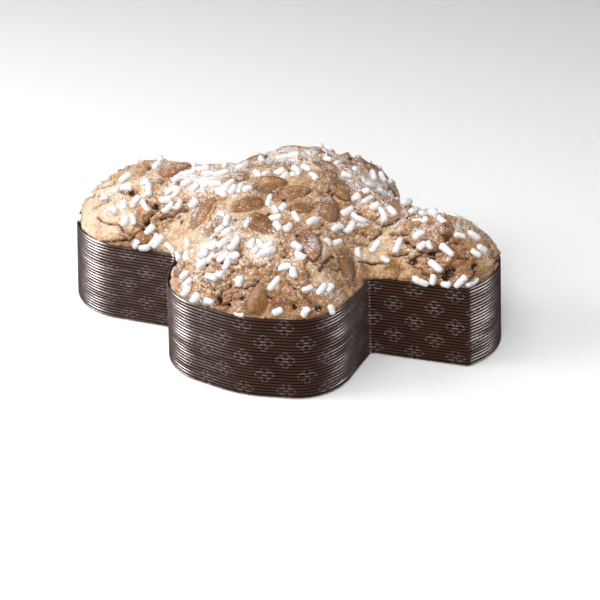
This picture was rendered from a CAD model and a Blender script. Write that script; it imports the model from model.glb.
import math
import random

import bpy
import numpy as np
from mathutils import Matrix, Vector, noise
from mathutils.bvhtree import BVHTree


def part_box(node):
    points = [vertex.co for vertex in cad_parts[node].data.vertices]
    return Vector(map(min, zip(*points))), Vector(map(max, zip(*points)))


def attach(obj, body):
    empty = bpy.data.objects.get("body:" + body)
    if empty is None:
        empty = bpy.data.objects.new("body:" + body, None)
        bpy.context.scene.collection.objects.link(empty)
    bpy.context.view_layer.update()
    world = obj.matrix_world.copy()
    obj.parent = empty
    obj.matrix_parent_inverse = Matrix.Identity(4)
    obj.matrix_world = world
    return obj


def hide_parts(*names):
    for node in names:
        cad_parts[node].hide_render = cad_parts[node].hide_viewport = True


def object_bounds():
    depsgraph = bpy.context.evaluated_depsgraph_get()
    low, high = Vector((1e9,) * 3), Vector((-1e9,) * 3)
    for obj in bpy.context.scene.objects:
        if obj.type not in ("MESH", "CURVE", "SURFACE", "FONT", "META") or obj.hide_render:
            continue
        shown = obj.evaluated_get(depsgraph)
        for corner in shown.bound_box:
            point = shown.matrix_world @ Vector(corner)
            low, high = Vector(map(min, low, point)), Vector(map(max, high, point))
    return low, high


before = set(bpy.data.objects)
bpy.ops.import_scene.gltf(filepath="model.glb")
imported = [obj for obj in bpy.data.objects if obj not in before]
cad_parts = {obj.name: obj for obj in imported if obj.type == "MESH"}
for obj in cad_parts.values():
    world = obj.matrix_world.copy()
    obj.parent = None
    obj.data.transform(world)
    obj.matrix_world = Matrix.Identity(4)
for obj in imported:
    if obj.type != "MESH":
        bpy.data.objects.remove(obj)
cad_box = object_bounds()
MM = 0.001

# The view: the camera stands in front of the near wing, a little to its right, and looks down on the
# loaf. What shows from there, such as a crack or a rod of sugar, is placed through its pixel, (u, v).
CAMERA_PLACE = Vector((0.2037, -0.6198, 0.4278))
CAMERA_TURN = math.radians(17.2)
CAMERA_DOWN = math.radians(33)
LENS = 67.35
SENSOR = 36
PHOTO_SIDE = 600
lens = bpy.data.cameras.new("camera")
lens.lens = LENS
lens.sensor_width = SENSOR
camera = bpy.data.objects.new("camera", lens)
bpy.context.scene.collection.objects.link(camera)
camera.location = CAMERA_PLACE
camera.rotation_euler = (math.radians(90) - CAMERA_DOWN, 0, CAMERA_TURN)
bpy.context.scene.camera = camera


def through_pixel(u, v):
    """The way from the camera through a pixel of the photograph."""
    step = SENSOR / LENS / PHOTO_SIDE
    way = Vector(((u - PHOTO_SIDE / 2) * step, (PHOTO_SIDE / 2 - v) * step, -1))
    return (camera.rotation_euler.to_matrix() @ way).normalized()


# The baking case: a tray of dark brown corrugated paper in the shape of a dove, with the tail at -X.
# One strip of ribbed paper is wrapped round a flat base and glued to it. Its ribs run level, and small
# pale flowers are printed on it. It stands a little proud of the loaf where the dough has shrunk.
CASE_LOW, CASE_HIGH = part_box("paper_case")
CASE_HEIGHT = CASE_HIGH.z
CASE_CORNERS = (
    (-151.6, 0, 40),
    (-142.6, -50.5, 45),
    (-60.1, -49.5, 3),
    (-51.1, -95, 37.5),
    (5.4, -105.7, 80),
    (61.9, -95, 38),
    (72.4, -38.5, 3),
    (136.1, -34.5, 6),
    (163.4, 0, 45),
)
RIM_LENGTH_RATIO = 0.961
PAPER = 0.7 * MM
RIB_COUNT = 26
LEVELS_PER_RIB = 6
RIB_DEPTH = 0.55 * MM
CASE_INSET = 0.3 * MM
CASE_COLUMN = 3 * MM


def rounded_corner(before, corner, after, radius, step):
    """The points of the arc that rounds one corner of the case's outline."""
    to_before = (before - corner).normalized()
    to_after = (after - corner).normalized()
    opening = to_before.angle(to_after)
    centre = corner + (to_before + to_after).normalized() * radius / math.sin(opening / 2)
    start = corner + to_before * radius / math.tan(opening / 2) - centre
    end = corner + to_after * radius / math.tan(opening / 2) - centre
    turn = -start.angle_signed(end)
    steps = max(4, math.ceil(abs(turn) * radius / step))
    return [centre + Matrix.Rotation(turn * i / steps, 2) @ start for i in range(steps + 1)]


def case_outline(step):
    """The base's outline, anticlockwise, with a point at every step along it."""
    corners = [*CASE_CORNERS, *((x, -y, radius) for x, y, radius in CASE_CORNERS[-2:0:-1])]
    rounded = []
    for i, (x, y, radius) in enumerate(corners):
        before = Vector(corners[i - 1][:2]) * MM
        after = Vector(corners[(i + 1) % len(corners)][:2]) * MM
        rounded += rounded_corner(before, Vector((x, y)) * MM, after, radius * MM, step)
    outline = []
    for i, point in enumerate(rounded):
        gap = rounded[(i + 1) % len(rounded)] - point
        pieces = max(1, math.ceil(gap.length / step - 0.2))
        if gap.length > 0.1 * step:
            outline += [point + gap * k / pieces for k in range(pieces)]
    return outline


def outward_at(outline):
    """The way out of the case at each point of its outline."""
    ways = []
    for i, point in enumerate(outline):
        along = outline[(i + 1) % len(outline)] - outline[i - 1]
        ways.append(Vector((along.y, -along.x)).normalized())
    return ways


def lean(z):
    """How much shorter the case is at this height: its tail and head lean in towards the rim."""
    return 1 - (1 - RIM_LENGTH_RATIO) * z / CASE_HEIGHT


def edit_selected(obj, kind, wanted):
    """Selects the vertices, edges or faces of obj that are wanted, and goes into edit mode."""
    mesh = obj.data
    for items in (mesh.vertices, mesh.edges, mesh.polygons):
        items.foreach_set("select", [False] * len(items))
    for item in {"VERT": mesh.vertices, "EDGE": mesh.edges, "FACE": mesh.polygons}[kind]:
        item.select = bool(wanted(item))
    bpy.context.tool_settings.mesh_select_mode = [kind == k for k in ("VERT", "EDGE", "FACE")]
    bpy.ops.object.mode_set(mode="EDIT")


outline = case_outline(CASE_COLUMN)
outward = outward_at(outline)
columns = len(outline)
run = [0.0]
for i in range(columns):
    run.append(run[-1] + (outline[(i + 1) % columns] - outline[i]).length)

bpy.ops.object.select_all(action="DESELECT")
bpy.ops.mesh.primitive_circle_add(vertices=columns, radius=CASE_HIGH.x, fill_type="NGON")
case = bpy.context.object
case.name = "ribbed_paper_case"
for vert, point in zip(case.data.vertices, outline):
    vert.co = (point.x, point.y, 0)
edit_selected(case, "FACE", lambda face: True)
bpy.ops.mesh.extrude_region_move(TRANSFORM_OT_translate={"value": (0, 0, CASE_HEIGHT)})
bpy.ops.mesh.delete(type="FACE")
bpy.ops.object.mode_set(mode="OBJECT")
corner_z = [vert.co.z for vert in case.data.vertices]
edit_selected(case, "EDGE", lambda edge: corner_z[edge.vertices[0]] != corner_z[edge.vertices[1]])
bpy.ops.mesh.subdivide_edgering(
    number_cuts=RIB_COUNT * LEVELS_PER_RIB - 1, interpolation="LINEAR"
)
bpy.ops.object.mode_set(mode="OBJECT")

# Each vertex of the wall is put on its rib: the crests lie on the case's true size, the grooves inside.
nearest_column = {(round(p.x, 6), round(p.y, 6)): i for i, p in enumerate(outline)}
vert_column = []
vert_groove = []
for vert in case.data.vertices:
    column = nearest_column[(round(vert.co.x, 6), round(vert.co.y, 6))]
    vert_column.append(column)
    z = vert.co.z
    along = run[column]
    groove = 0.5 + 0.5 * math.cos(2 * math.pi * RIB_COUNT * z / CASE_HEIGHT)
    vert_groove.append(groove)
    rib = groove**1.5 * (0.85 + 0.4 * noise.noise(Vector((along * 60, z * 400, 0.5))))
    slack = 0.35 + 0.65 * noise.noise(Vector((along * 22, z * 14, 3.1)))
    inwards = CASE_INSET + RIB_DEPTH * rib + 0.5 * MM * max(0, slack) * (z / CASE_HEIGHT)
    if z < 0.8 * MM:
        inwards += 0.9 * MM
    place = outline[column] - outward[column] * inwards
    vert.co.x = place.x * lean(z)
    vert.co.y = place.y

top_verts = {vert.index for vert in case.data.vertices if vert.co.z > CASE_HEIGHT - 0.1 * MM}
edit_selected(case, "EDGE", lambda edge: set(edge.vertices) <= top_verts)
bpy.ops.mesh.extrude_edges_move(TRANSFORM_OT_translate={"value": (0, 0, 0)})
bpy.ops.object.mode_set(mode="OBJECT")
rim_points = [Vector((point.x * lean(CASE_HEIGHT), point.y)) for point in outline]
for vert in case.data.vertices:
    if vert.select:
        nearest = min(range(columns), key=lambda i: (rim_points[i] - vert.co.xy).length_squared)
        vert.co.xy -= outward[nearest] * PAPER
bpy.ops.object.mode_set(mode="EDIT")
bpy.ops.mesh.extrude_edges_move(TRANSFORM_OT_translate={"value": (0, 0, PAPER - CASE_HEIGHT)})
bpy.ops.mesh.edge_face_add()
bpy.ops.mesh.select_all(action="SELECT")
bpy.ops.mesh.normals_make_consistent(inside=False)
bpy.ops.object.mode_set(mode="OBJECT")
bpy.ops.object.shade_smooth_by_angle(angle=math.radians(60))

# The print follows the strip of paper: u is the distance along it and v the height, both in metres.
wrap = case.data.uv_layers.new(name="wrap")
for face in case.data.polygons:
    runs = []
    for loop in face.loop_indices:
        vert = case.data.loops[loop].vertex_index
        runs.append(run[vert_column[vert]] if vert < len(vert_column) else 0)
    wraps_round = max(runs) - min(runs) > run[-1] / 2
    for loop, along in zip(face.loop_indices, runs):
        z = case.data.vertices[case.data.loops[loop].vertex_index].co.z
        wrap.data[loop].uv = (along + (run[-1] if wraps_round and along < run[-1] / 2 else 0), z)
grooves = vert_groove + [0.6] * (len(case.data.vertices) - len(vert_groove))
case.data.attributes.new("groove", "FLOAT", "POINT").data.foreach_set("value", grooves)

paper = bpy.data.materials.new("corrugated_baking_paper")
paper.use_nodes = True
nodes, links = paper.node_tree.nodes, paper.node_tree.links
shader = nodes["Principled BSDF"]
coords = nodes.new("ShaderNodeTexCoord")


def m(operation, first, second=None):
    """A Math node of the current material, fed by sockets or numbers; gives its output."""
    node = nodes.new("ShaderNodeMath")
    node.operation = operation
    for socket, value in zip(node.inputs, (first, second)):
        if isinstance(value, bpy.types.NodeSocket):
            links.new(value, socket)
        elif value is not None:
            socket.default_value = value
    return node.outputs[0]


def noise_at(scale, detail):
    """Noise in the object's space, with this many features to the metre."""
    node = nodes.new("ShaderNodeTexNoise")
    node.inputs["Scale"].default_value = scale
    node.inputs["Detail"].default_value = detail
    links.new(coords.outputs["Object"], node.inputs["Vector"])
    return node.outputs["Fac"]


def mixed(share, first, second):
    """One colour laid over another by a share, each a socket or a value."""
    node = nodes.new("ShaderNodeMix")
    node.data_type = "RGBA"
    for name, value in (("Factor", share), ("A", first), ("B", second)):
        if isinstance(value, bpy.types.NodeSocket):
            links.new(value, node.inputs[name])
        else:
            node.inputs[name].default_value = value
    return node.outputs["Result"]


def attribute(name):
    """The value that a vertex attribute has here."""
    node = nodes.new("ShaderNodeAttribute")
    node.attribute_name = name
    return node.outputs["Fac"]


def bumped(height, strength, distance):
    """Lets a height roughen the surface of the current material."""
    node = nodes.new("ShaderNodeBump")
    node.inputs["Strength"].default_value = strength
    node.inputs["Distance"].default_value = distance
    links.new(height, node.inputs["Height"])
    links.new(node.outputs["Normal"], shader.inputs["Normal"])


# One printed flower in each cell of a staggered grid: four open petals with a dot between each two.
FLOWER_COLUMN = run[-1] / round(run[-1] / (26.5 * MM))
FLOWER_ROW = CASE_HEIGHT / 5
PETAL_OUT = 3.3 * MM
PETAL_LENGTH = 2.5 * MM
PETAL_WIDTH = 1.9 * MM
INK_SHARE = 0.15
DOT_OUT = 3.1 * MM
DOT = 0.5 * MM

uv = nodes.new("ShaderNodeUVMap")
uv.uv_map = "wrap"
split = nodes.new("ShaderNodeSeparateXYZ")
links.new(uv.outputs[0], split.inputs[0])
row = m("FLOOR", m("DIVIDE", split.outputs["Y"], FLOWER_ROW))
stagger = m("MULTIPLY", m("MODULO", row, 2.0), FLOWER_COLUMN / 2)
across = m("FLOORED_MODULO", m("ADD", split.outputs["X"], stagger), FLOWER_COLUMN)
across = m("SUBTRACT", across, FLOWER_COLUMN / 2)
up = m("SUBTRACT", m("FLOORED_MODULO", split.outputs["Y"], FLOWER_ROW), FLOWER_ROW / 2)
from_side = m("ABSOLUTE", across)
from_level = m("ABSOLUTE", up)
out_along = m("SUBTRACT", m("MAXIMUM", from_side, from_level), PETAL_OUT)
out_along = m("DIVIDE", out_along, PETAL_LENGTH)
out_across = m("DIVIDE", m("MINIMUM", from_side, from_level), PETAL_WIDTH)
petal = m("ADD", m("MULTIPLY", out_along, out_along), m("MULTIPLY", out_across, out_across))
petal = m("LESS_THAN", m("ABSOLUTE", m("SUBTRACT", m("SQRT", petal), 1.0)), INK_SHARE)
dot_across = m("SUBTRACT", from_side, DOT_OUT)
dot_up = m("SUBTRACT", from_level, DOT_OUT)
dot = m("ADD", m("MULTIPLY", dot_across, dot_across), m("MULTIPLY", dot_up, dot_up))
flower = m("MAXIMUM", petal, m("LESS_THAN", dot, DOT * DOT))
ink = m("MULTIPLY", flower, m("ADD", m("MULTIPLY", noise_at(700, 2), 1.2), 0.1))
brown = mixed(noise_at(45, 6), (0.048, 0.018, 0.012, 1), (0.125, 0.058, 0.040, 1))
printed = mixed(ink, brown, (0.31, 0.26, 0.235, 1))
grooved = mixed(m("MULTIPLY", attribute("groove"), 0.96), printed, (0.005, 0.002, 0.0015, 1))
links.new(grooved, shader.inputs["Base Color"])
rough = nodes.new("ShaderNodeMapRange")
rough.inputs["To Min"].default_value = 0.28
rough.inputs["To Max"].default_value = 0.42
links.new(noise_at(260, 4), rough.inputs["Value"])
links.new(rough.outputs["Result"], shader.inputs["Roughness"])
shader.inputs["Specular IOR Level"].default_value = 0.5
shader.inputs["Specular Tint"].default_value = (1, 0.90, 0.86, 1)
bumped(noise_at(1400, 3), 0.3, 0.00008)
case.data.materials.append(paper)
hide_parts("paper_case")
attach(case, "root")

# The almonds' places, read from the frame: each one's middle, its long axis towards the tip, and its
# width and thickness. The crust is shaped round them before they are modelled.
ALMOND_NODES = sorted(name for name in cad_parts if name.startswith("almond_"))


def almond_place(node):
    """The middle, the three unit axes and the three sizes of an almond of the frame."""
    points = np.array([vert.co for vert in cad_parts[node].data.vertices])
    points = np.unique(points.round(6), axis=0)
    middle = points.mean(0)
    _, _, axes = np.linalg.svd(points - middle, full_matrices=False)
    spans = (points - middle) @ axes.T
    middle = middle + axes.T @ ((spans.max(0) + spans.min(0)) / 2)
    spans = (points - middle) @ axes.T
    if np.abs(spans[spans[:, 0] > 0, 1]).mean() > np.abs(spans[spans[:, 0] < 0, 1]).mean():
        axes[0] = -axes[0]
    if axes[2][2] < 0:
        axes[2] = -axes[2]
    axes[1] = np.cross(axes[2], axes[0])
    return middle, axes, spans.max(0) - spans.min(0)


almond_places = [almond_place(node) for node in ALMOND_NODES]

# The loaf: sweet yeast dough under a glaze of almond meal, sugar and egg white, which dries in the
# oven to a pale brown crust. It domes up out of the case, cracks into plates and crumbles as it rises.
DOME_RISE = 48.4 * MM
DOME_REACH = 31.8 * MM
DOME_SAMPLES = 300
LOAF_INSET = 1.6 * MM
LOAF_FLOOR = 1.5 * MM
LOAF_VOXEL = 1.6 * MM
CRUST_VOXEL = 0.86 * MM
HIDDEN_BELOW = 53.5 * MM
SWELL_SIZE = 34 * MM
SWELL_HEIGHT = 4 * MM
LUMP_SIZE = 12 * MM
LUMP_HEIGHT = 2 * MM
SHRUNK_SPOTS = ((-58, -66, 5.5, 14), (-146, -22, 2.6, 16), (142, -22, 4.5, 13))

core_outline = case_outline(2.5 * MM)
rim = np.array([(point.x * lean(CASE_HEIGHT), point.y) for point in core_outline])


def even_samples(loop, count):
    """Points at even steps along a closed outline, with the length of one step."""
    points = np.vstack([loop, loop[:1]])
    runs = np.concatenate([[0], np.cumsum(np.linalg.norm(np.diff(points, axis=0), axis=1))])
    at = np.linspace(0, runs[-1], count, endpoint=False)
    return np.stack([np.interp(at, runs, points[:, i]) for i in (0, 1)], axis=1), runs[-1] / count


rim_samples, rim_step = even_samples(rim, DOME_SAMPLES)


def depth_inside(points):
    """A smooth distance inwards from the rim for each plan point."""
    depths = []
    for chunk in np.array_split(points, max(1, len(points) // 4000)):
        square = ((chunk[:, None] - rim_samples[None]) ** 2).sum(2) + MM**2
        depths.append(((rim_step / square**2).sum(1) / (math.pi / 2)) ** (-1 / 3))
    return np.concatenate(depths)


def shrinkage(x, y):
    """How far the loaf has shrunk away from the paper near this point of the rim."""
    return sum(
        most * MM * math.exp(-((x / MM - spot_x) ** 2 + (y / MM - spot_y) ** 2) / reach**2)
        for spot_x, spot_y, most, reach in SHRUNK_SPOTS
    )


def read_all(items, name, width):
    """One property of all vertices, as an array."""
    values = np.empty(len(items) * width, np.float32)
    items.foreach_get(name, values)
    return values.reshape(-1, width).astype(float)


bpy.ops.object.select_all(action="DESELECT")
bpy.ops.mesh.primitive_circle_add(
    vertices=len(core_outline), radius=CASE_HIGH.x, fill_type="NGON"
)
loaf = bpy.context.object
loaf.name = "glazed_loaf"
for vert, point, way in zip(loaf.data.vertices, core_outline, outward_at(core_outline)):
    point = point - way * (LOAF_INSET + shrinkage(point.x, point.y))
    vert.co = (point.x, point.y, LOAF_FLOOR)
edit_selected(loaf, "FACE", lambda face: True)
bpy.ops.mesh.extrude_region_move(
    TRANSFORM_OT_translate={"value": (0, 0, CASE_HEIGHT - LOAF_FLOOR)}
)
bpy.ops.mesh.select_all(action="SELECT")
bpy.ops.mesh.normals_make_consistent(inside=False)
bpy.ops.object.mode_set(mode="OBJECT")


def even_mesh(obj, voxel):
    """Makes the piece's mesh anew, of even squares."""
    remesh = obj.modifiers.new("even_mesh", "REMESH")
    remesh.mode = "VOXEL"
    remesh.voxel_size = voxel
    bpy.ops.object.modifier_apply(modifier=remesh.name)


even_mesh(loaf, LOAF_VOXEL)
places = read_all(loaf.data.vertices, "co", 3)
places[:, 0] *= lean(places[:, 2])
risen = places[:, 2] > CASE_HEIGHT - 0.4 * MM
dome = 1 - np.exp(-depth_inside(places[risen, :2]) / DOME_REACH)
places[risen, 2] = CASE_HEIGHT + DOME_RISE * dome
loaf.data.vertices.foreach_set("co", places.ravel())
loaf.data.update()
even_mesh(loaf, CRUST_VOXEL)

# What is hidden in the case needs no fine mesh: it is cut away here and drawn down as a plain wall below.
edit_selected(loaf, "FACE", lambda face: True)
bpy.ops.mesh.bisect(
    plane_co=(0, 0, HIDDEN_BELOW), plane_no=(0, 0, 1), use_fill=False, clear_inner=True
)
bpy.ops.object.mode_set(mode="OBJECT")
count = len(loaf.data.vertices)
places = read_all(loaf.data.vertices, "co", 3)
ways = read_all(loaf.data.vertices, "normal", 3)
depths = depth_inside(places[:, :2])
on_top = np.clip((places[:, 2] - CASE_HEIGHT + 1 * MM) / (2 * MM), 0, 1)
crust_faces = [tuple(face.vertices) for face in loaf.data.polygons]
for i in np.flatnonzero(on_top > 0):
    x, y = places[i, :2]
    swell = noise.noise(Vector((x, y, 0.013)) / SWELL_SIZE) * SWELL_HEIGHT
    lump = noise.noise(Vector((x, y, 0.029)) / LUMP_SIZE) * LUMP_HEIGHT
    places[i, 2] += (swell + lump) * min(1, depths[i] / (9.6 * MM)) * on_top[i]
surface = BVHTree.FromPolygons(places.tolist(), crust_faces)


def crust_at(u, v):
    """The place on the crust that shows at a pixel, or at the nearest one above or below it."""
    for down_by in sorted(range(-30, 31), key=abs):
        hit, *_ = surface.ray_cast(CAMERA_PLACE, through_pixel(u, v + down_by))
        if hit is not None and hit.z > CASE_HEIGHT:
            return hit
    raise ValueError(f"no crust shows at {u}, {v}")


# The cracks that show: how wide each is in millimetres, and the pixels that it runs through.
CRACKS = (
    (1.2, (104, 244), (112, 243), (120, 240), (128, 240), (132, 236), (139, 231), (143, 229)),
    (1.4, (159, 219), (166, 216), (172, 216), (177, 212), (186, 209)),
    (1.3, (144, 225), (148, 217), (155, 211), (158, 204), (152, 207), (146, 201)),
    (1.0, (96, 189), (103, 187), (112, 184), (118, 180)),
    (1.2, (120, 191), (126, 194), (133, 194), (137, 191)),
    (0.7, (92, 209), (100, 205), (109, 201)),
    (0.9, (157, 182), (168, 181), (178, 180), (190, 177)),
    (0.8, (97, 217), (101, 221), (110, 224), (117, 224), (122, 229), (129, 235)),
    (1.0, (231, 288), (238, 288), (246, 288), (254, 285), (259, 279)),
    (1.5, (216, 303), (217, 297), (220, 291), (227, 288), (229, 284)),
    (1.1, (220, 307), (228, 303), (231, 296)),
    (0.9, (248, 266), (256, 266), (264, 265), (272, 260)),
    (0.9, (227, 267), (235, 262), (240, 258), (239, 250), (238, 243)),
    (1.0, (222, 281), (228, 276), (232, 270)),
    (1.0, (258, 288), (263, 293), (266, 297), (272, 298)),
    (0.9, (289, 282), (293, 287), (297, 289)),
    (0.9, (307, 258), (306, 266), (310, 274), (311, 281)),
    (1.4, (321, 270), (325, 264), (329, 259), (334, 255)),
    (0.8, (296, 229), (303, 231), (311, 229), (320, 228), (325, 222)),
    (0.9, (360, 262), (367, 263), (374, 264), (382, 263)),
    (0.7, (355, 243), (361, 245), (367, 245)),
    (1.4, (372, 240), (381, 232), (383, 226), (391, 223), (398, 218)),
    (1.0, (355, 208), (360, 214), (368, 218), (374, 220), (381, 225)),
    (1.3, (399, 214), (408, 216), (416, 213), (424, 213)),
    (1.4, (405, 241), (411, 244), (416, 249), (423, 252), (431, 253), (438, 250)),
    (1.1, (409, 262), (415, 258), (421, 254)),
    (0.9, (391, 234), (399, 235), (408, 234)),
    (0.9, (389, 255), (397, 256), (407, 254)),
    (0.9, (423, 273), (430, 276), (437, 274), (446, 272)),
    (1.0, (454, 249), (459, 256), (464, 259), (470, 258)),
    (0.9, (449, 242), (457, 241), (464, 243)),
    (0.9, (411, 218), (424, 221), (436, 222), (446, 226), (451, 231)),
    (1.1, (202, 229), (208, 222), (212, 213), (217, 206)),
    (0.8, (212, 198), (218, 200), (225, 198)),
    (0.8, (276, 190), (282, 197), (286, 200)),
    (0.8, (340, 202), (346, 205), (352, 203)),
    (0.8, (385, 198), (391, 201), (396, 205)),
    (0.8, (280, 240), (286, 250), (290, 256)),
    (0.7, (333, 277), (337, 280), (341, 282)),
    (0.8, (302, 292), (307, 298), (313, 303)),
    (0.8, (205, 282), (210, 286), (214, 290)),
)
# The holes and torn hollows that show: the pixel of each, how wide and how deep, in millimetres.
HOLES = (
    (181, 222, 1.7, 2.2),
    (188, 228, 1.2, 1.8),
    (269, 213, 1.8, 1.8),
    (215, 237, 1.6, 1.8),
    (235, 219, 1.3, 1.2),
    (121, 228, 1.5, 1.6),
    (142, 229, 1.7, 2.2),
    (146, 222, 2.4, 2.8),
    (131, 192, 2.4, 1.8),
    (113, 184, 1.6, 1.6),
    (149, 167, 2.4, 2.0),
    (154, 205, 2.2, 2.4),
    (289, 168, 1.8, 2.0),
    (284, 198, 1.8, 2.0),
    (204, 275, 1.6, 1.8),
    (241, 298, 1.9, 1.8),
    (218, 301, 2.6, 2.8),
    (227, 305, 2.4, 2.4),
    (450, 271, 4.2, 3.2),
    (446, 277, 3.2, 2.8),
    (477, 266, 3.4, 3.0),
    (475, 276, 3.2, 2.6),
    (447, 238, 2.4, 2.2),
    (415, 262, 2.0, 2.0),
    (433, 256, 2.4, 1.8),
    (294, 307, 1.8, 2.0),
    (319, 308, 3.0, 1.6),
    (330, 190, 1.5, 1.6),
    (235, 234, 1.2, 1.2),
    (242, 239, 1.4, 1.4),
    (298, 235, 2.0, 1.4),
    (284, 255, 1.5, 1.6),
    (190, 232, 1.0, 1.0),
    (222, 220, 1.4, 1.6),
)
# Where the glaze is crumbly, and where it has dried smooth: pixel, reach in millimetres and how much.
CRUMBLY_SPOTS = (
    (235, 280, 20, 0.8),
    (265, 280, 18, 0.7),
    (290, 295, 16, 0.6),
    (225, 300, 14, 0.8),
    (245, 262, 14, 0.5),
    (120, 238, 10, 0.8),
    (145, 222, 12, 0.7),
    (165, 222, 10, 0.4),
    (430, 255, 20, 0.8),
    (460, 268, 20, 0.9),
    (425, 228, 20, 0.6),
    (290, 245, 14, 0.5),
    (282, 192, 12, 0.4),
    (350, 235, 14, 0.4),
)
SMOOTH_SPOTS = (
    (95, 225, 24, 1.0),
    (112, 208, 18, 0.6),
    (182, 238, 14, 0.8),
    (228, 208, 12, 0.7),
    (330, 285, 22, 0.7),
    (395, 265, 22, 0.9),
    (385, 248, 14, 0.6),
    (484, 262, 8, 1.0),
    (262, 245, 8, 0.3),
    (345, 300, 16, 0.6),
)
PLATE_SIZE = 27 * MM
CRACK_DEPTH = 2.4 * MM
CRACK_LIP = 0.5 * MM
CRUMB_SIZE = 4.8 * MM
CRUMB_DEPTH = 1.2 * MM
CRUMB_STEP = 1.3 * MM
SMALL_CRUMB_SIZE = 2.3 * MM
SMALL_CRUMB_DEPTH = 0.5 * MM
SMALL_CRUMB_STEP = 0.75 * MM
BUBBLE_SIZE = 6.5 * MM
ALMOND_COLLAR = 0.35 * MM
ALMOND_MOAT = 1.0 * MM


def distance_to_path(points, path):
    """How far each point is from a path of straight runs."""
    nearest = np.full(len(points), np.inf)
    for start, end in zip(path, path[1:]):
        start, along = np.array(start), np.array(end - start)
        share = np.clip(((points - start) @ along) / (along @ along), 0, 1)
        gaps = np.linalg.norm(points - start - share[:, None] * along, axis=1)
        nearest = np.minimum(nearest, gaps)
    return nearest


def spread(spots, points):
    """The strength of a set of spots at each point: each fades out round its pixel's place."""
    strength = np.zeros(len(points))
    for u, v, reach, share in spots:
        gap = np.linalg.norm(points - np.array(crust_at(u, v)), axis=1)
        strength = np.maximum(strength, share * np.exp(-((gap / (reach * MM)) ** 2)))
    return strength


def smooth(low, high, value):
    """Rises from 0 at low to 1 at high, without a corner."""
    share = np.clip((value - low) / (high - low), 0, 1)
    return share * share * (3 - 2 * share)


def cells(points, size, seed):
    """How near each point is to the border between cells of glaze, and a number for its own cell."""
    found = np.empty((2, len(points)))
    for i, point in enumerate(points):
        nearness, centres = noise.voronoi(Vector(point) / size + Vector((seed, 0, 0)))
        found[:, i] = nearness[1] - nearness[0], noise.cell(centres[0] * 7.3)
    return found


def noises(points, size, seed):
    """Noise with features of this size at each point."""
    shift = Vector((0, 0, seed))
    return np.array([noise.noise(Vector(point) / size + shift) for point in points])


frays = []
for point in places:
    coarse = noise.noise_vector(Vector(point) / (3.2 * MM)) * 0.9
    frays.append(coarse + noise.noise_vector(Vector(point) / (1.3 * MM)) * 0.5)
frayed = places + np.array(frays) * MM
to_camera = np.array(CAMERA_PLACE) - places
to_camera /= np.linalg.norm(to_camera, axis=1)[:, None]
seen = smooth(-0.05, 0.2, (ways * to_camera).sum(1)) * smooth(30 * MM, 10 * MM, places[:, 1])

gaps = np.full(count, 9.0)
for width, *pixels in CRACKS:
    path = [crust_at(u, v) for u, v in pixels]
    gaps = np.minimum(gaps, distance_to_path(frayed, path) / (width * MM))
plates = frayed / PLATE_SIZE
bends = np.array([noise.noise_vector(Vector(point) * 1.7) for point in plates])
plate_gaps = cells((plates + 0.35 * bends) * [1, 1, 0.3], 1, 0)[0] * PLATE_SIZE / 2
parted = smooth(-0.1, 0.25, noises(places, 26 * MM, 0.5))
plate_gaps = plate_gaps / ((1.1 - 0.5 * seen) * MM) + 3 * (1 - parted)
gaps = np.minimum(gaps, plate_gaps)
crack = np.exp(-(gaps**2))
lip = np.exp(-(((gaps - 2.2) / 1.0) ** 2))

crumbly = 0.42 + 0.9 * noises(places, 20 * MM, 4.0) + 0.35 * np.exp(-((gaps / 4) ** 2))
crumbly += 1.1 * spread(CRUMBLY_SPOTS, places) - 1.3 * spread(SMOOTH_SPOTS, places)
crumbly = np.clip(crumbly, 0.06, 1)
crumb_gaps, crumb_steps = cells(frayed, CRUMB_SIZE, 3.3)
small_gaps, small_steps = cells(frayed, SMALL_CRUMB_SIZE, 8.1)
valley = 1 - smooth(0.0, 0.3, crumb_gaps)
small_valley = 1 - smooth(0.0, 0.4, small_gaps)
steps = CRUMB_STEP * crumb_steps * crumbly + SMALL_CRUMB_STEP * small_steps * (0.3 + 0.7 * crumbly)
fine = noises(places, 1.9 * MM, 0.0)

hole = np.zeros(count)
hole_depth = np.zeros(count)
for u, v, wide, deep in HOLES:
    gap = np.linalg.norm(frayed - np.array(crust_at(u, v)), axis=1)
    inside = smooth(1.25 * wide * MM, 0.6 * wide * MM, gap)
    hole = np.maximum(hole, inside)
    hole_depth = np.maximum(hole_depth, inside * deep * MM)
bubble = np.zeros(count)
for i, point in enumerate(frayed):
    near, centres = noise.voronoi(Vector(point) / BUBBLE_SIZE)
    if noise.cell(centres[0] * 9.1) > 0.55:
        bubble[i] = smooth(0.26, 0.10, near[0])

collar = np.zeros(count)
moat = np.zeros(count)
for middle, axes, spans in almond_places:
    away = (frayed - middle) @ axes.T / (spans / 2)
    ring = np.sqrt(away[:, 0] ** 2 + (away[:, 1] / (1 - 0.28 * np.clip(away[:, 0], -1, 1))) ** 2)
    beside = np.abs(away[:, 2]) < 2.5
    collar = np.maximum(collar, np.exp(-(((ring - 1.32) / 0.16) ** 2)) * beside)
    moat = np.maximum(moat, smooth(1.14, 0.98, ring) * beside)
collar_noise = noises(places, 5 * MM, 2.0)

bulge = CRACK_LIP * lip * parted - CRACK_DEPTH * crack - hole_depth
bulge -= crumbly * (CRUMB_DEPTH * valley + SMALL_CRUMB_DEPTH * small_valley)
bulge += 0.4 * MM * fine + steps - steps.mean() - 0.8 * MM * bubble
bulge *= 1 - 0.8 * moat
bulge += ALMOND_COLLAR * collar * np.clip(0.8 + 1.2 * collar_noise, 0, 1.6) - ALMOND_MOAT * moat
places += ways * (bulge * on_top)[:, None]

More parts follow.
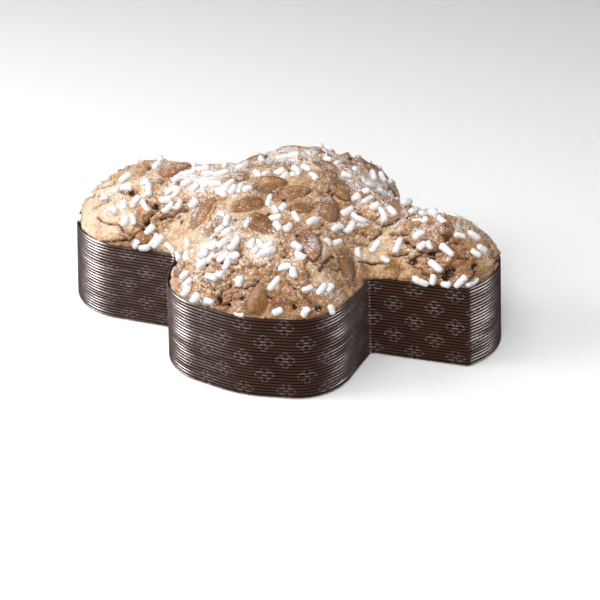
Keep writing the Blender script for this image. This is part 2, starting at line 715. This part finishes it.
# The crust rolls over the rim, more at the roots of the head, and not where the loaf has shrunk away.
LIP = 1.4 * MM
LIP_HEIGHT = 60 * MM
SOFT_LIMIT = 1.2 * MM
SAG_SPOTS = ((76, -37, 2.0, 17), (68, -52, 1.2, 10), (-64, -49, 1.5, 12))
rolled = np.exp(-(((places[:, 2] - LIP_HEIGHT) / (2.3 * MM)) ** 2)) * (depths < 6 * MM)
for i in np.flatnonzero(rolled > 0.01):
    x, y = places[i, :2]
    free = 1 - min(1, shrinkage(x, y) / (1.2 * MM))
    uneven = 0.55 + 0.7 * noise.noise(Vector((x, y, 0.9)) / (11 * MM))
    uneven += 0.5 * noise.noise(Vector((x, y, 0.9)) / (4 * MM))
    sag = sum(
        most * math.exp(-((x / MM - a) ** 2 + (y / MM - b) ** 2) / reach**2)
        for a, b, most, reach in SAG_SPOTS
    )
    out_by = rolled[i] * free * max(0, uneven) * (1 + sag)
    places[i, :2] += ways[i, :2] * LIP * out_by
    places[i, 2] -= 1.1 * MM * sag * rolled[i] * free * max(0, uneven)
# The crust's highest bumps and its lip are pressed in softly, so that the loaf keeps its size.
for axis, limit in enumerate(np.array(cad_box[1]) - 0.2 * MM):
    over = np.abs(places[:, axis]) - (limit - SOFT_LIMIT)
    pressed = limit - SOFT_LIMIT * np.exp(-np.maximum(over, 0) / SOFT_LIMIT)
    places[:, axis] = np.where(over > 0, np.copysign(pressed, places[:, axis]), places[:, axis])
loaf.data.vertices.foreach_set("co", places.ravel())
loaf.data.update()
ways = read_all(loaf.data.vertices, "normal", 3)
surface = BVHTree.FromPolygons(places.tolist(), crust_faces)

low_verts = {v.index for v in loaf.data.vertices if v.co.z < HIDDEN_BELOW + 0.01 * MM}
edit_selected(loaf, "EDGE", lambda e: set(e.vertices) <= low_verts)
bpy.ops.mesh.extrude_edges_move(
    TRANSFORM_OT_translate={"value": (0, 0, LOAF_FLOOR - HIDDEN_BELOW)}
)
bpy.ops.mesh.edge_face_add()
bpy.ops.mesh.select_all(action="SELECT")
bpy.ops.mesh.normals_make_consistent(inside=False)
bpy.ops.object.mode_set(mode="OBJECT")
bpy.ops.object.shade_smooth()

# How brown the glaze has baked: pale on the tail's near side and on the near wing's tail side.
PALE_SPOTS = (
    (95, 225, 30, 1.0),
    (110, 205, 25, 0.7),
    (185, 245, 22, 0.8),
    (228, 205, 20, 0.7),
    (200, 280, 20, 0.6),
    (262, 245, 15, 0.6),
)
BROWN_SPOTS = (
    (345, 285, 24, 0.5),
    (315, 305, 16, 0.8),
    (440, 270, 30, 0.7),
    (470, 272, 20, 0.9),
    (365, 200, 40, 0.3),
    (120, 246, 10, 0.7),
    (278, 196, 12, 0.7),
    (400, 195, 14, 0.9),
    (372, 168, 12, 0.9),
)


def stored(obj, name, values):
    """Keeps one value for each vertex with the mesh; the vertices past the values get 0."""
    kept = np.zeros(len(obj.data.vertices), np.float32)
    kept[: len(values)] = values
    obj.data.attributes.new(name, "FLOAT", "POINT").data.foreach_set("value", kept)


tone = 0.42 + 0.5 * noises(places, 11 * MM, 6.0) + 0.25 * noises(places, 4 * MM, 7.0)
tone += 0.45 * spread(BROWN_SPOTS, places) - 0.45 * spread(PALE_SPOTS, places)
tone += 0.35 * np.exp(-depths / (3 * MM))
hollow = np.maximum.reduce([crack, hole, 0.75 * bubble, 0.62 * crumbly * valley])
hollow = np.maximum(hollow, 0.4 * crumbly * small_valley)
hollow = np.maximum(hollow, 0.7 * moat)
stored(loaf, "tone", tone)
stored(loaf, "hollow", hollow)
stored(loaf, "crumbly", crumbly)

crust = bpy.data.materials.new("baked_almond_glaze")
crust.use_nodes = True
nodes, links = crust.node_tree.nodes, crust.node_tree.links
shader = nodes["Principled BSDF"]
coords = nodes.new("ShaderNodeTexCoord")


def ramp(value, stops):
    """A colour for each value, between stops of place and colour."""
    node = nodes.new("ShaderNodeValToRGB")
    elements = node.color_ramp.elements
    while len(elements) < len(stops):
        elements.new(0.5)
    for element, (at, colour) in zip(elements, stops):
        element.position = at
        element.color = (*colour, 1)
    links.new(value, node.inputs["Fac"])
    return node.outputs["Color"]


def between(value, low, high):
    """Rises from 0 where the value is low to 1 where it is high."""
    node = nodes.new("ShaderNodeMapRange")
    node.interpolation_type = "SMOOTHSTEP"
    links.new(value, node.inputs["Value"])
    node.inputs["From Min"].default_value = low
    node.inputs["From Max"].default_value = high
    return node.outputs["Result"]


def plus_noise(value, scale, detail, share):
    """The value, made uneven by noise."""
    return m("ADD", value, m("MULTIPLY", m("SUBTRACT", noise_at(scale, detail), 0.5), share))


def powdered(colour, low, high, most):
    """The colour under icing sugar: specks where little has settled, an even white where much has."""
    specks = plus_noise(plus_noise(attribute("dust"), 950, 2, 2.4), 320, 2, 0.5)
    return mixed(m("MULTIPLY", between(specks, low, high), most), colour, (0.79, 0.77, 0.78, 1))


grit = noise_at(700, 4)
glaze = ramp(
    plus_noise(attribute("tone"), 520, 5, 1.4),
    (
        (0.0, (0.74, 0.57, 0.41)),
        (0.35, (0.61, 0.41, 0.245)),
        (0.65, (0.44, 0.25, 0.120)),
        (1.0, (0.26, 0.122, 0.046)),
    ),
)
pitted = m("ADD", m("MULTIPLY", attribute("crumbly"), 0.85), 0.12)
glaze = mixed(m("MULTIPLY", between(grit, 0.49, 0.40), pitted), glaze, (0.27, 0.122, 0.05, 1))
deep = plus_noise(attribute("hollow"), 1100, 3, 0.5)
glaze = mixed(m("MULTIPLY", between(deep, 0.12, 0.55), 0.75), glaze, (0.33, 0.16, 0.075, 1))
glaze = mixed(between(deep, 0.55, 0.9), glaze, (0.05, 0.018, 0.009, 1))
links.new(powdered(glaze, 0.50, 0.95, 0.8), shader.inputs["Base Color"])
shader.inputs["Roughness"].default_value = 0.8
shader.inputs["Specular IOR Level"].default_value = 0.2
crumbs = nodes.new("ShaderNodeTexVoronoi")
crumbs.inputs["Scale"].default_value = 620
links.new(coords.outputs["Object"], crumbs.inputs["Vector"])
roughness = m("ADD", grit, m("MULTIPLY", crumbs.outputs["Distance"], 0.4))
bumped(roughness, 0.9, 0.0011)
loaf.data.materials.append(crust)
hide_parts("bread")
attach(loaf, "root")

# The almonds: shelled sweet almonds in their brown skin, pressed into the glaze before baking. One is
# modelled, with the flat sides and the pointed tip of the real nut, and each copy is uneven in its way.
ALMOND_TAPER = 0.30
ALMOND_TIP = 0.10
bpy.ops.object.select_all(action="DESELECT")
bpy.ops.mesh.primitive_uv_sphere_add(segments=30, ring_count=22, radius=1)
nut = bpy.context.object
edit_selected(nut, "FACE", lambda face: True)
bpy.ops.transform.rotate(value=math.radians(90), orient_axis="Y", center_override=(0, 0, 0))
bpy.ops.mesh.normals_make_consistent(inside=False)
bpy.ops.object.mode_set(mode="OBJECT")
for vert in nut.data.vertices:
    along = vert.co.x
    narrow = (1 - ALMOND_TAPER * along) * (1 - ALMOND_TIP * max(0, along) ** 3)
    vert.co.y *= narrow
    vert.co.z *= narrow * (1 - 0.06 * math.exp(-((vert.co.y / 0.35) ** 2)))

skin = bpy.data.materials.new("almond_skin")
skin.use_nodes = True
nodes, links = skin.node_tree.nodes, skin.node_tree.links
shader = nodes["Principled BSDF"]
coords = nodes.new("ShaderNodeTexCoord")
nut_uv = nodes.new("ShaderNodeUVMap")
nut_uv.uv_map = "UVMap"
lengthwise = nodes.new("ShaderNodeMapping")
lengthwise.inputs["Scale"].default_value = (46, 2.2, 1)
links.new(nut_uv.outputs[0], lengthwise.inputs["Vector"])
veins = nodes.new("ShaderNodeTexNoise")
veins.inputs["Scale"].default_value = 1
veins.inputs["Detail"].default_value = 3
links.new(lengthwise.outputs[0], veins.inputs["Vector"])
veined = m("MULTIPLY", m("SUBTRACT", veins.outputs["Fac"], 0.5), 1.1)
skin_colour = ramp(
    plus_noise(m("ADD", attribute("tone"), veined), 450, 4, 0.5),
    (
        (0.0, (0.105, 0.038, 0.013)),
        (0.5, (0.26, 0.115, 0.042)),
        (1.0, (0.40, 0.20, 0.085)),
    ),
)
links.new(powdered(skin_colour, 0.55, 0.95, 0.65), shader.inputs["Base Color"])
shader.inputs["Roughness"].default_value = 0.6
shader.inputs["Specular IOR Level"].default_value = 0.12
bumped(m("ADD", veins.outputs["Fac"], m("MULTIPLY", noise_at(1500, 3), 0.4)), 0.6, 0.0003)

almonds = []
for number, (node, (middle, axes, spans)) in enumerate(zip(ALMOND_NODES, almond_places)):
    almond = bpy.data.objects.new(f"toasted_{node}", nut.data.copy())
    bpy.context.scene.collection.objects.link(almond)
    draw = random.Random(number)
    own = Vector((draw.uniform(0, 50), draw.uniform(0, 50), 0))
    bend = draw.uniform(-0.06, 0.06)
    browner = draw.uniform(0, 0.25)
    shape = read_all(almond.data.vertices, "co", 3)
    uneven = np.array([noise.noise(Vector(point) * 1.6 + own) for point in shape])
    dents = np.array([noise.noise(Vector(point) * 5 + own) for point in shape])
    shape *= (1 + 0.07 * uneven + 0.02 * dents)[:, None]
    shape[:, 1] += bend * shape[:, 0] ** 2
    reach = np.abs(shape).max(0)
    shape = middle + (shape / reach * spans / 2) @ axes
    almond.data.vertices.foreach_set("co", shape.ravel())
    stored(almond, "tone", 0.62 - browner + 0.5 * uneven)
    almond.data.materials.append(skin)
    almond.data.update()
    bpy.ops.object.select_all(action="DESELECT")
    almond.select_set(True)
    bpy.context.view_layer.objects.active = almond
    bpy.ops.object.shade_smooth()
    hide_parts(node)
    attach(almond, "root")
    almonds.append(almond)
bpy.data.objects.remove(nut)

# Pearl sugar: short blunt rods of pressed sugar, strewn over the glaze before baking. They lie in
# drifts and singly, at all angles, half sunk. Each is given by the pixels of its two ends.
RODS_SEEN = (
    (122, 187, 132, 187),
    (121, 181, 131, 174),
    (143, 184, 150, 180),
    (150, 183, 150, 195),
    (124, 200, 126, 207),
    (132, 206, 139, 196),
    (141, 198, 149, 212),
    (111, 208, 115, 211),
    (124, 225, 127, 216),
    (133, 214, 135, 224),
    (147, 233, 155, 225),
    (134, 250, 137, 240),
    (141, 249, 150, 246),
    (151, 245, 158, 234),
    (155, 250, 164, 236),
    (167, 242, 175, 253),
    (104, 180, 111, 178),
    (88, 198, 95, 194),
    (102, 198, 108, 196),
    (154, 168, 158, 165),
    (182, 174, 195, 171),
    (198, 170, 210, 168),
    (165, 192, 178, 185),
    (161, 199, 172, 197),
    (173, 197, 180, 190),
    (163, 210, 172, 201),
    (176, 208, 181, 199),
    (192, 205, 197, 201),
    (82, 213, 82, 219),
    (203, 187, 208, 182),
    (205, 175, 213, 173),
    (214, 175, 228, 171),
    (210, 184, 221, 182),
    (193, 190, 199, 184),
    (184, 184, 190, 181),
    (217, 191, 226, 195),
    (225, 190, 233, 181),
    (231, 193, 236, 187),
    (238, 194, 243, 183),
    (244, 188, 249, 186),
    (220, 212, 224, 214),
    (225, 225, 228, 217),
    (216, 231, 223, 226),
    (225, 234, 229, 231),
    (243, 228, 255, 217),
    (268, 205, 271, 194),
    (274, 206, 277, 212),
    (281, 209, 285, 205),
    (270, 220, 281, 217),
    (278, 222, 282, 227),
    (286, 229, 289, 226),
    (255, 172, 260, 176),
    (264, 174, 271, 172),
    (276, 172, 285, 167),
    (281, 179, 287, 173),
    (277, 158, 288, 156),
    (289, 157, 300, 154),
    (238, 167, 247, 163),
    (254, 157, 259, 153),
    (293, 166, 299, 171),
    (296, 174, 300, 169),
    (302, 165, 310, 169),
    (310, 172, 317, 178),
    (324, 159, 330, 160),
    (334, 164, 341, 161),
    (342, 173, 351, 175),
    (352, 169, 360, 168),
    (372, 173, 374, 180),
    (379, 173, 383, 181),
    (386, 180, 394, 178),
    (365, 184, 378, 186),
    (384, 192, 397, 197),
    (361, 205, 377, 196),
    (354, 199, 359, 196),
    (373, 207, 377, 205),
    (380, 206, 386, 220),
    (389, 207, 396, 214),
    (341, 213, 350, 207),
    (351, 214, 365, 221),
    (327, 230, 345, 223),
    (345, 232, 353, 222),
    (292, 211, 300, 225),
    (307, 222, 316, 218),
    (325, 238, 329, 243),
    (333, 243, 341, 240),
    (292, 244, 300, 248),
    (296, 252, 305, 257),
    (401, 205, 410, 201),
    (407, 212, 420, 207),
    (430, 211, 437, 214),
    (438, 217, 445, 222),
    (453, 234, 463, 236),
    (414, 238, 424, 232),
    (419, 246, 423, 243),
    (426, 241, 430, 248),
    (441, 244, 453, 254),
    (396, 252, 402, 238),
    (371, 251, 379, 240),
    (357, 247, 359, 256),
    (382, 256, 389, 260),
    (429, 261, 440, 270),
    (414, 275, 428, 281),
    (435, 276, 434, 285),
    (442, 283, 449, 286),
    (455, 286, 465, 275),
    (465, 286, 476, 284),
    (471, 250, 479, 255),
    (477, 246, 484, 251),
    (469, 232, 478, 238),
    (178, 245, 182, 263),
    (188, 237, 189, 248),
    (188, 250, 187, 261),
    (201, 256, 209, 250),
    (198, 267, 206, 260),
    (206, 260, 214, 253),
    (202, 248, 212, 243),
    (210, 247, 217, 240),
    (219, 247, 227, 240),
    (229, 248, 237, 236),
    (219, 260, 227, 253),
    (224, 268, 228, 257),
    (233, 258, 237, 256),
    (251, 248, 254, 240),
    (258, 240, 262, 247),
    (253, 253, 258, 247),
    (264, 248, 272, 243),
    (262, 255, 276, 250),
    (207, 274, 216, 277),
    (215, 276, 223, 274),
    (183, 278, 190, 272),
    (183, 286, 190, 279),
    (184, 295, 190, 285),
    (193, 299, 197, 293),
    (205, 300, 213, 302),
    (237, 284, 240, 275),
    (279, 268, 290, 265),
    (293, 266, 294, 276),
    (272, 291, 281, 279),
    (275, 312, 282, 309),
    (303, 289, 312, 286),
    (316, 292, 324, 283),
    (326, 290, 331, 284),
    (302, 314, 308, 306),
    (328, 304, 330, 313),
    (237, 318, 241, 316),
)
ROD_RADIUS = 2.15 * MM
ROD_LONGEST = 11 * MM
ROD_LONGER = 1.15
ROD_SUNK = 0.45
RODS_FAR = 150
FAR_ROD_GAP = 4.4 * MM

bpy.ops.object.select_all(action="DESELECT")
bpy.ops.mesh.primitive_cylinder_add(vertices=8, radius=1, depth=0.6)
rod = bpy.context.object
for end in (1, -1):
    edit_selected(rod, "FACE", lambda face: face.normal.z * end > 0.9)
    for reach, narrower in ((0.48, 0.96), (0.22, 0.58)):
        bpy.ops.mesh.extrude_region_move(TRANSFORM_OT_translate={"value": (0, 0, reach * end)})
        bpy.ops.transform.resize(value=(narrower, narrower, 1))
    bpy.ops.object.mode_set(mode="OBJECT")
rod_points = read_all(rod.data.vertices, "co", 3)
rod_faces = [list(face.vertices) for face in rod.data.polygons]
bpy.data.objects.remove(rod)


def clear_of_almonds(place, margin):
    """Whether a place on the crust is clear of every almond."""
    for middle, axes, spans in almond_places:
        away = ((np.array(place) - middle) @ axes.T) / (spans / 2 + margin)
        if (away**2).sum() < 1:
            return False
    return True


def far_rods(draw):
    """Rods for the side that the photograph doesn't show: their ends, in drifts as on the near side."""
    found = []
    while len(found) < RODS_FAR:
        x = draw.uniform(*(corner[0] for corner in cad_box))
        y = draw.uniform(-5 * MM, cad_box[1][1])
        turn = draw.uniform(0, 2 * math.pi)
        size = draw.uniform(5, 10) * MM
        drift = noise.noise(Vector((x, y, 0.2)) / (16 * MM))
        if drift < draw.uniform(-0.35, 0.25):
            continue
        hit, way, *_ = surface.ray_cast(Vector((x, y, 0.2)), Vector((0, 0, -1)))
        if hit is None or hit.z < CASE_HEIGHT + 3 * MM or not clear_of_almonds(hit, 2 * MM):
            continue
        blocked, *_ = surface.ray_cast(hit + way * 3 * MM, CAMERA_PLACE - hit)
        if blocked is None:
            continue
        if any((hit - (a + b) / 2).length < FAR_ROD_GAP for a, b in found):
            continue
        along = Vector((math.cos(turn), math.sin(turn), 0)).cross(way).normalized() * size / 2
        found.append((hit - along, hit + along))
    return found


draw = random.Random(5)
rods = [(crust_at(a, b + 1.5), crust_at(c, d + 1.5)) for a, b, c, d in RODS_SEEN]
rods += far_rods(draw)
sugar_points, sugar_faces, rod_middles = [], [], []
for start, end in rods:
    radius = ROD_RADIUS * draw.uniform(0.84, 1.12)
    middle = (start + end) / 2
    nearest, way, *_ = surface.find_nearest(middle)
    length = min(ROD_LONGEST, max(ROD_LONGER * (end - start).length, 3 * radius))
    along = (end - start).normalized()
    side = along.cross(way).normalized()
    lift = side.cross(along).normalized()
    middle = nearest + lift * radius * (1 - ROD_SUNK)
    for axis, (low, high) in enumerate(zip(*cad_box)):
        middle[axis] = min(max(middle[axis], low + 1.3 * radius), high - 1.3 * radius)
    rod_middles.append(middle)
    bend = draw.uniform(-0.12, 0.12)
    own = draw.uniform(0, 100)
    taper = draw.uniform(-0.12, 0.12)
    first = len(sugar_points)
    for px, py, pz in rod_points:
        uneven = 1 + 0.24 * noise.noise(Vector((px * 1.3, py * 1.3, pz * 2.4 + own))) + taper * pz
        pz *= 1 + 0.16 * noise.noise(Vector((px * 1.1, py * 1.1, pz + own)))
        aside = px * uneven * radius + bend * (pz * pz - 0.4) * length
        point = middle + along * pz * length / 2 + side * aside + lift * py * uneven * radius
        sugar_points.append([min(max(c, low), high) for c, low, high in zip(point, *cad_box)])
    sugar_faces += [[first + k for k in corners] for corners in rod_faces]

sugar_mesh = bpy.data.meshes.new("pearl_sugar")
sugar_mesh.from_pydata(sugar_points, [], sugar_faces)
sugar = bpy.data.objects.new("pearl_sugar", sugar_mesh)
bpy.context.scene.collection.objects.link(sugar)
bpy.ops.object.select_all(action="DESELECT")
sugar.select_set(True)
bpy.context.view_layer.objects.active = sugar
edit_selected(sugar, "FACE", lambda face: True)
bpy.ops.mesh.normals_make_consistent(inside=False)
bpy.ops.object.mode_set(mode="OBJECT")
bpy.ops.object.shade_smooth()

white = bpy.data.materials.new("pearl_sugar")
white.use_nodes = True
nodes, links = white.node_tree.nodes, white.node_tree.links
shader = nodes["Principled BSDF"]
coords = nodes.new("ShaderNodeTexCoord")
sugar_colour = ramp(noise_at(420, 4), ((0.25, (0.72, 0.69, 0.68)), (0.7, (0.85, 0.84, 0.84))))
links.new(sugar_colour, shader.inputs["Base Color"])
shader.inputs["Roughness"].default_value = 0.8
shader.inputs["Specular IOR Level"].default_value = 0.2
shader.inputs["Subsurface Weight"].default_value = 0.3
shader.inputs["Subsurface Radius"].default_value = (1, 0.9, 0.8)
shader.inputs["Subsurface Scale"].default_value = 0.001
bumped(noise_at(1500, 3), 0.6, 0.0003)
sugar.data.materials.append(white)
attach(sugar, "root")

# Broken sugar: grains and splinters that came off the rods, caught in the glaze round them.
GRAINS_PER_ROD = 2
GRAINS_STREWN = 150
bpy.ops.object.select_all(action="DESELECT")
bpy.ops.mesh.primitive_ico_sphere_add(subdivisions=1, radius=1)
grain = bpy.context.object
grain_points = read_all(grain.data.vertices, "co", 3)
grain_faces = [list(face.vertices) for face in grain.data.polygons]
bpy.data.objects.remove(grain)
grain_places = []
for middle in rod_middles:
    for _ in range(GRAINS_PER_ROD):
        turn = draw.uniform(0, 2 * math.pi)
        away = Vector((math.cos(turn), math.sin(turn), 0)) * draw.uniform(2, 8) * MM
        grain_places.append(middle + away)
for _ in range(GRAINS_STREWN):
    spot = [draw.uniform(low, high) for low, high in zip(cad_box[0][:2], cad_box[1][:2])]
    grain_places.append(Vector((*spot, 0)))
sugar_points, sugar_faces = [], []
for place in grain_places:
    hit, way, *_ = surface.ray_cast(Vector((place.x, place.y, 0.2)), Vector((0, 0, -1)))
    if hit is None or hit.z < CASE_HEIGHT + 2 * MM or not clear_of_almonds(hit, 0.5 * MM):
        continue
    turned = Matrix.Rotation(draw.uniform(0, 6), 3, Vector((draw.random(), draw.random(), 1)))
    sizes = [draw.uniform(0.25, 0.65) * MM for _ in range(3)]
    first = len(sugar_points)
    for point in grain_points:
        stretched = Vector([part * size for part, size in zip(point, sizes)])
        sugar_points.append(hit + way * 0.3 * MM + turned @ stretched)
    sugar_faces += [[first + k for k in corners] for corners in grain_faces]
grains_mesh = bpy.data.meshes.new("sugar_grains")
grains_mesh.from_pydata(sugar_points, [], sugar_faces)
grains = bpy.data.objects.new("sugar_grains", grains_mesh)
bpy.context.scene.collection.objects.link(grains)
grains.data.materials.append(white)
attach(grains, "root")

# Icing sugar: sieved over the baked loaf. It settles on what faces up, thickest in drifts round the
# rods, and thins out to specks on the almonds. It is a colour of what it lies on, by vertex.
DUST_SPOTS = (
    (150, 185, 24, 0.45),
    (195, 182, 26, 0.80),
    (218, 174, 24, 0.85),
    (175, 172, 14, 0.70),
    (245, 178, 12, 0.60),
    (285, 152, 30, 0.85),
    (320, 150, 26, 0.80),
    (345, 165, 14, 0.60),
    (375, 188, 30, 0.85),
    (330, 206, 12, 0.60),
    (360, 225, 18, 0.65),
    (405, 222, 22, 0.50),
    (432, 226, 20, 0.45),
    (460, 220, 24, 0.50),
    (312, 248, 14, 0.60),
    (212, 228, 12, 0.55),
    (222, 250, 22, 0.85),
    (262, 250, 14, 0.60),
    (300, 272, 18, 0.35),
    (335, 290, 18, 0.40),
    (250, 272, 16, 0.35),
    (435, 252, 14, 0.40),
    (115, 195, 20, 0.40),
    (190, 255, 16, 0.40),
)
HALO = 3.6 * MM
HALO_DUST = 0.4


def dust_on(points, normals):
    """How thick the icing sugar lies at each point."""
    settled = 0.30 + 0.9 * spread(DUST_SPOTS, points)
    far_side = smooth(5 * MM, 30 * MM, points[:, 1])
    settled = np.maximum(settled, 0.55 * far_side)
    near_rod = np.full(len(points), np.inf)
    for middle in rod_middles:
        near_rod = np.minimum(near_rod, np.linalg.norm(points - np.array(middle), axis=1))
    settled += HALO_DUST * np.exp(-((near_rod / HALO) ** 2))
    patchy = 0.85 + 0.8 * noises(points, 8 * MM, 11.0)
    return settled * patchy * smooth(0.05, 0.85, normals[:, 2])


stored(loaf, "dust", dust_on(places, ways))
for almond in almonds:
    almond_points = read_all(almond.data.vertices, "co", 3)
    almond_ways = read_all(almond.data.vertices, "normal", 3)
    stored(almond, "dust", 0.18 + 0.75 * dust_on(almond_points, almond_ways))

# The table and the light: a seamless white table, a large soft box above, and narrow ones at the sides
# whose reflections run down the rounded ends of the case. The table gives the paper no reflection.
bpy.ops.object.select_all(action="DESELECT")
bpy.ops.mesh.primitive_plane_add(size=6, location=(0, 0, -0.0002))
table = bpy.context.object
table.name = "white_table"
pale = bpy.data.materials.new("white_table")
pale.use_nodes = True
pale.node_tree.nodes["Principled BSDF"].inputs["Base Color"].default_value = (0.93, 0.93, 0.93, 1)
pale.node_tree.nodes["Principled BSDF"].inputs["Roughness"].default_value = 0.9
table.data.materials.append(pale)
table.visible_glossy = False
table.visible_diffuse = False


def soft_light(name, place, width, height, power):
    """A soft box that points at the loaf."""
    light = bpy.data.lights.new(name, "AREA")
    light.shape = "RECTANGLE"
    light.size = width
    light.size_y = height
    light.energy = power
    box = bpy.data.objects.new(name, light)
    bpy.context.scene.collection.objects.link(box)
    box.location = place
    box.rotation_euler = (Vector((0, 0, 0.05)) - Vector(place)).to_track_quat("-Z", "Y").to_euler()
    return box


for name, place, power in (
    ("top_box", (-0.3, -0.35, 1.15), 5),
    ("left_box", (-1.1, -0.45, 0.85), 10.5),
    ("fill_box", (0.3, -1.1, 0.95), 13.5),
):
    soft_light(name, place, 0.7, 0.6, power).visible_glossy = False
soft_light("left_strip", (-0.98, -0.45, 0.46), 0.50, 0.8, 92).visible_diffuse = False
soft_light("right_strip", (1.10, 0.17, 0.50), 0.60, 0.7, 30).visible_diffuse = False
world = bpy.data.worlds.new("studio")
bpy.context.scene.world = world
world.use_nodes = True
world.node_tree.nodes["Background"].inputs["Color"].default_value = (1, 1, 1, 1)
world.node_tree.nodes["Background"].inputs["Strength"].default_value = 0.25
world.cycles_visibility.glossy = False
bpy.context.scene.view_settings.view_transform = "Standard"
